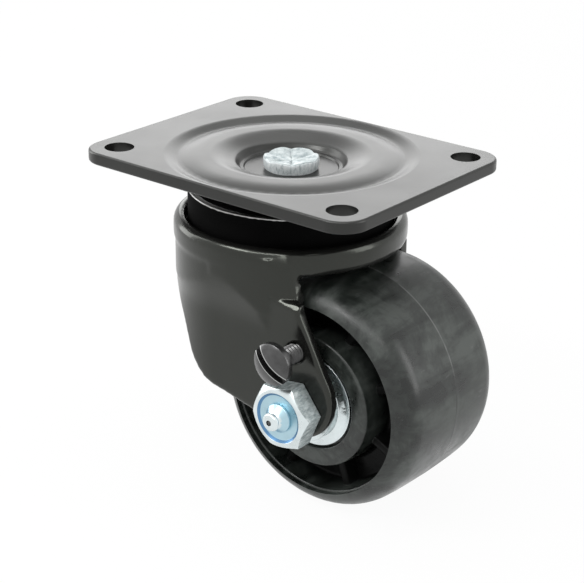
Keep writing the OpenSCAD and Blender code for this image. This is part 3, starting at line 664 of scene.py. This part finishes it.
def rib(bm, angle, end):
    """A rounded rib from the hub's boss to the rim, tapering towards its top."""
    inner, outer = 21.2, 31.4
    floor, top = 13.6, 19.0
    turn = Matrix.Rotation(angle, 4, "Y")
    section = [(-2.1, floor), (-1.45, top - 0.7), (-1.15, top - 0.2), (-0.7, top)]
    section += [(-w, h) for w, h in reversed(section)]
    rows = []
    for r in (inner, outer):
        row = []
        for w, h in section:
            p = turn @ Vector((r, 0.0, w))
            row.append(((TRAIL + p.x) * MM, end * h * MM, (AXLE_Z - p.z) * MM))
        rows.append([bm.verts.new(q) for q in row])
    low, high = rows
    for i in range(len(low)):
        j = (i + 1) % len(low)
        bm.faces.new((low[i], low[j], high[j], high[i]))
    bm.faces.new(low)
    bm.faces.new(high)


wheel()


# Axle parts

def hex_radius(angle, flat_r, corner):
    """Distance from a hexagon's middle to its side at an angle."""
    return flat_r / math.cos((angle - corner) % (math.pi / 3) - math.pi / 6)


def axle_bolt():
    """Bolt with a chamfered hexagon head, forged flats and a dished, blue-tinted face."""
    flat_r, corner = HEAD_AF / 2, math.radians(HEAD_ANGLE)
    face_y = -LEG_Y - HEAD_H
    chamfer_r, chamfer_slope = 8.95, 0.78
    hole_r, hole_end_y = 2.9, DISH_Y + 5.0
    count = 144
    bm = cad_copy("axle_bolt", keep=lambda f: f.calc_center_median().y > (-LEG_Y + 0.02) * MM)
    round_edges(bm, 0.28, 24.0, 2)
    angles = [corner + 2 * math.pi * i / count for i in range(count)]
    side = [hex_radius(t, flat_r, corner) for t in angles]
    drop = [(r - chamfer_r) * chamfer_slope for r in side]

    def ring(radii, heights):
        return [
            (TRAIL + r * math.cos(t), y, AXLE_Z + r * math.sin(t))
            for t, r, y in zip(angles, radii, heights)
        ]

    def even(r, y):
        return ring([r] * count, [y] * count)

    rows = [
        ring([r - 0.25 for r in side], [-LEG_Y] * count),
        ring(side, [-LEG_Y - 0.25] * count),
        ring(side, [face_y + d + 0.14 for d in drop]),
        ring([r - 0.10 for r in side], [face_y + d - 0.06 for d in drop]),
        even(chamfer_r + 0.10, face_y + 0.09),
        even(chamfer_r - 0.15, face_y),
        even(DISH_R + 0.12, face_y),
        even(DISH_R - 0.08, face_y + 0.16),
        even(DISH_R - 0.85, DISH_Y - 0.10),
        even(DISH_R - 1.05, DISH_Y),
        even(hole_r, DISH_Y),
        even(hole_r, hole_end_y),
    ]
    # The band down the dish wall takes the darker blue zinc as painted shade.
    made = grid(bm, rows, material=[2, 2, 2, 0, 0, 0, 0, 3, 1, 1, 1])
    bm.faces.new(made[-1])
    materials = [ZINC, ZINC_BLUE, ZINC_FORGED, ZINC_BLUE_SHADED]
    return add_object("axle_bolt_look", bm, materials, "axle_bolt", sharp=40.0)


def grease_nipple():
    """Nipple with a blue-tinted foot, a bright nose, and a feed hole painted dark as painted shade."""
    foot_y, hole_r = DISH_Y - 2.2, 0.95
    bm = cad_copy("grease_nipple")
    round_edges(bm, 0.18, 20.0, 2)
    for face in bm.faces:
        c = face.calc_center_median() / MM
        rim = max(math.hypot(v.co.x / MM - TRAIL, v.co.z / MM - AXLE_Z) for v in face.verts)
        # Painted shade: the feed hole's faces take the dark oxide.
        if rim < hole_r:
            face.material_index = 2
        elif c.y > foot_y:
            face.material_index = 1
    return add_object("grease_nipple_look", bm, [ZINC, ZINC_BLUE, OXIDE_SHADE], "grease_nipple")


axle_bolt()
grease_nipple()
dress("thrust_washer_near", [ZINC], 0.25)
dress("thrust_washer_far", [ZINC], 0.25)
dress("lock_nut", [ZINC], 0.3, 2, 24.0)
dress("nut_washer", [ZINC], 0.3)


# Brake

def thread_rows(cx, cz, start, end, major, depth, pitch):
    """Rows of points of a screw thread about an axis along Y."""
    segments, step, run_out = 40, 0.085, 0.8
    rows = []
    count = int(round((end - start) / step))
    for k in range(count + 1):
        y = start + (end - start) * k / count
        run_in = min(1.0, (y - start) / run_out, (end - y) / run_out)
        row = []
        for i in range(segments):
            turn = i / segments
            phase = ((y / pitch) - turn) % 1.0
            crest = 1.0 - abs(2.0 * phase - 1.0)
            groove = max(0.0, min(1.0, 1.25 * (1.0 - crest) - 0.12))
            r = major - depth * groove * max(0.0, run_in)
            t = 2 * math.pi * turn
            row.append((cx + r * math.cos(t), y, cz + r * math.sin(t)))
        rows.append(row)
    return rows


def brake_screw():
    """Brake screw: the CAD node's slotted head and a shank with a thread."""
    under_y = (BRAKE_UNDER_Y + 0.02) * MM
    thread_depth = 0.55
    bm = cad_copy("brake_screw", keep=lambda f: f.calc_center_median().y < under_y)
    round_edges(bm, 0.28, 26.0, 2)
    rows = thread_rows(
        BRAKE_X, BRAKE_Z, BRAKE_UNDER_Y - 0.3, BRAKE_TIP_Y, BRAKE_R, thread_depth, PITCH
    )
    made = grid(bm, rows, material=1)
    bm.faces.new(made[0])
    bm.faces.new(made[-1])
    return add_object("brake_screw_look", bm, [SLOTTED, THREAD], "brake_screw", sharp=60.0)


brake_screw()


# Nodes that keep their solids

# The nipple's steel ball takes the dark oxide as painted shade in the feed hole.
PLAIN = {
    "swivel_balls": STEEL, "lower_race": STEEL, "pilot_balls": STEEL, "bearing_rollers": STEEL,
    "axle_sleeve": STEEL, "nipple_ball": OXIDE_SHADE, "roller_cage": NYLON, "lock_nut_insert": NYLON,
    "brake_pad": NYLON,
}
for node_name, material in PLAIN.items():
    slots = NODES[node_name].data.materials
    slots.clear()
    slots.append(material)


# Floor, light and camera

def seen_directly(tree):
    """1 for rays from the camera or from a mirror-like surface, 0 for diffuse light."""
    path = tree.nodes.new("ShaderNodeLightPath")
    either = tree.nodes.new("ShaderNodeMath")
    either.operation = "MAXIMUM"
    tree.links.new(path.outputs["Is Camera Ray"], either.inputs[0])
    tree.links.new(path.outputs["Is Glossy Ray"], either.inputs[1])
    return either.outputs["Value"]


def make_floor():
    """A pale floor that looks white and keeps a faint shadow."""
    size = 6.0
    white_share = 0.95
    low_z = cad_box[0][2]
    bm = bmesh.new()
    signs = ((-1, -1), (1, -1), (1, 1), (-1, 1))
    bm.faces.new([bm.verts.new((x * size, y * size, low_z)) for x, y in signs])
    mesh = bpy.data.meshes.new("floor")
    bm.to_mesh(mesh)
    bm.free()
    material = bpy.data.materials.new("floor_white")
    material.use_nodes = True
    tree = material.node_tree
    tree.nodes.clear()
    out = tree.nodes.new("ShaderNodeOutputMaterial")
    diffuse = tree.nodes.new("ShaderNodeBsdfDiffuse")
    diffuse.inputs["Color"].default_value = (0.86, 0.86, 0.86, 1)
    white = tree.nodes.new("ShaderNodeEmission")
    white.inputs["Color"].default_value = (1, 1, 1, 1)
    white.inputs["Strength"].default_value = 1.0
    mix = tree.nodes.new("ShaderNodeMixShader")
    share = tree.nodes.new("ShaderNodeMath")
    share.operation = "MULTIPLY"
    share.inputs[1].default_value = white_share
    tree.links.new(seen_directly(tree), share.inputs[0])
    tree.links.new(share.outputs["Value"], mix.inputs["Fac"])
    tree.links.new(diffuse.outputs["BSDF"], mix.inputs[1])
    tree.links.new(white.outputs["Emission"], mix.inputs[2])
    tree.links.new(mix.outputs["Shader"], out.inputs["Surface"])
    mesh.materials.append(material)
    floor = bpy.data.objects.new("floor", mesh)
    bpy.context.scene.collection.objects.link(floor)


def area_light(name, place, target, width, height, power):
    """A rectangular lamp at a place, turned to a target."""
    data = bpy.data.lights.new(name, "AREA")
    data.shape = "RECTANGLE"
    data.size = width
    data.size_y = height
    data.energy = power
    lamp = bpy.data.objects.new(name, data)
    lamp.location = place
    aim = Vector(target) - Vector(place)
    lamp.rotation_euler = aim.to_track_quat("-Z", "Y").to_euler()
    bpy.context.scene.collection.objects.link(lamp)


def make_world():
    """A white surround, dimmer as light on the object than as seen."""
    lit, seen = 0.42, 1.0
    world = bpy.data.worlds.new("studio")
    bpy.context.scene.world = world
    world.use_nodes = True
    tree = world.node_tree
    tree.nodes.clear()
    out = tree.nodes.new("ShaderNodeOutputWorld")
    mix = tree.nodes.new("ShaderNodeMixShader")
    tree.links.new(seen_directly(tree), mix.inputs["Fac"])
    for socket, strength in ((1, lit), (2, seen)):
        back = tree.nodes.new("ShaderNodeBackground")
        back.inputs["Color"].default_value = (1.0, 1.0, 1.0, 1.0)
        back.inputs["Strength"].default_value = strength
        tree.links.new(back.outputs["Background"], mix.inputs[socket])
    tree.links.new(mix.outputs["Shader"], out.inputs["Surface"])


def make_camera():
    """The camera fitted to the photo: its axes, its place and its focal length in pixels."""
    focal_px, width_px, sensor = 1661.0, 584.0, 36.0
    place = Vector((0.31337, -0.38781, 0.16427))
    right = Vector((0.77595, 0.63072, 0.00977))
    up = Vector((-0.25380, 0.29799, 0.92021))
    back = Vector((0.57748, -0.71652, 0.39130))
    data = bpy.data.cameras.new("camera")
    data.sensor_fit = "HORIZONTAL"
    data.sensor_width = sensor
    data.lens = focal_px * sensor / width_px
    data.clip_start = 0.01
    data.clip_end = 50.0
    camera = bpy.data.objects.new("camera", data)
    camera.matrix_world = Matrix((
        (right.x, up.x, back.x, place.x),
        (right.y, up.y, back.y, place.y),
        (right.z, up.z, back.z, place.z),
        (0, 0, 0, 1),
    ))
    bpy.context.scene.collection.objects.link(camera)
    bpy.context.scene.camera = camera


make_floor()
make_world()
MIDDLE = (0.015, 0.0, -0.05)
LAMPS = [
    # Name, place, target, width, height and power, in metres and watts.
    ("top_soft", (-0.15, 0.10, 0.85), MIDDLE, 0.9, 0.9, 3.0),
    ("rim_strip", (-0.28, -0.50, 0.62), (0.01, -0.03, -0.02), 0.36, 0.14, 2.2),
    ("shoulder_strip", (0.22, -0.50, 0.62), (0.03, -0.02, -0.05), 0.80, 0.05, 1.8),
    ("back_panel", (-0.72, 0.91, 0.36), MIDDLE, 0.80, 0.65, 3.3),
    ("left_soft", (-0.85, -0.15, 0.25), MIDDLE, 0.4, 0.9, 3.5),
    ("right_soft", (0.92, 0.40, 0.30), MIDDLE, 0.4, 0.7, 2.6),
]
for lamp in LAMPS:
    area_light(*lamp)
make_camera()
bpy.context.scene.view_settings.view_transform = "Standard"
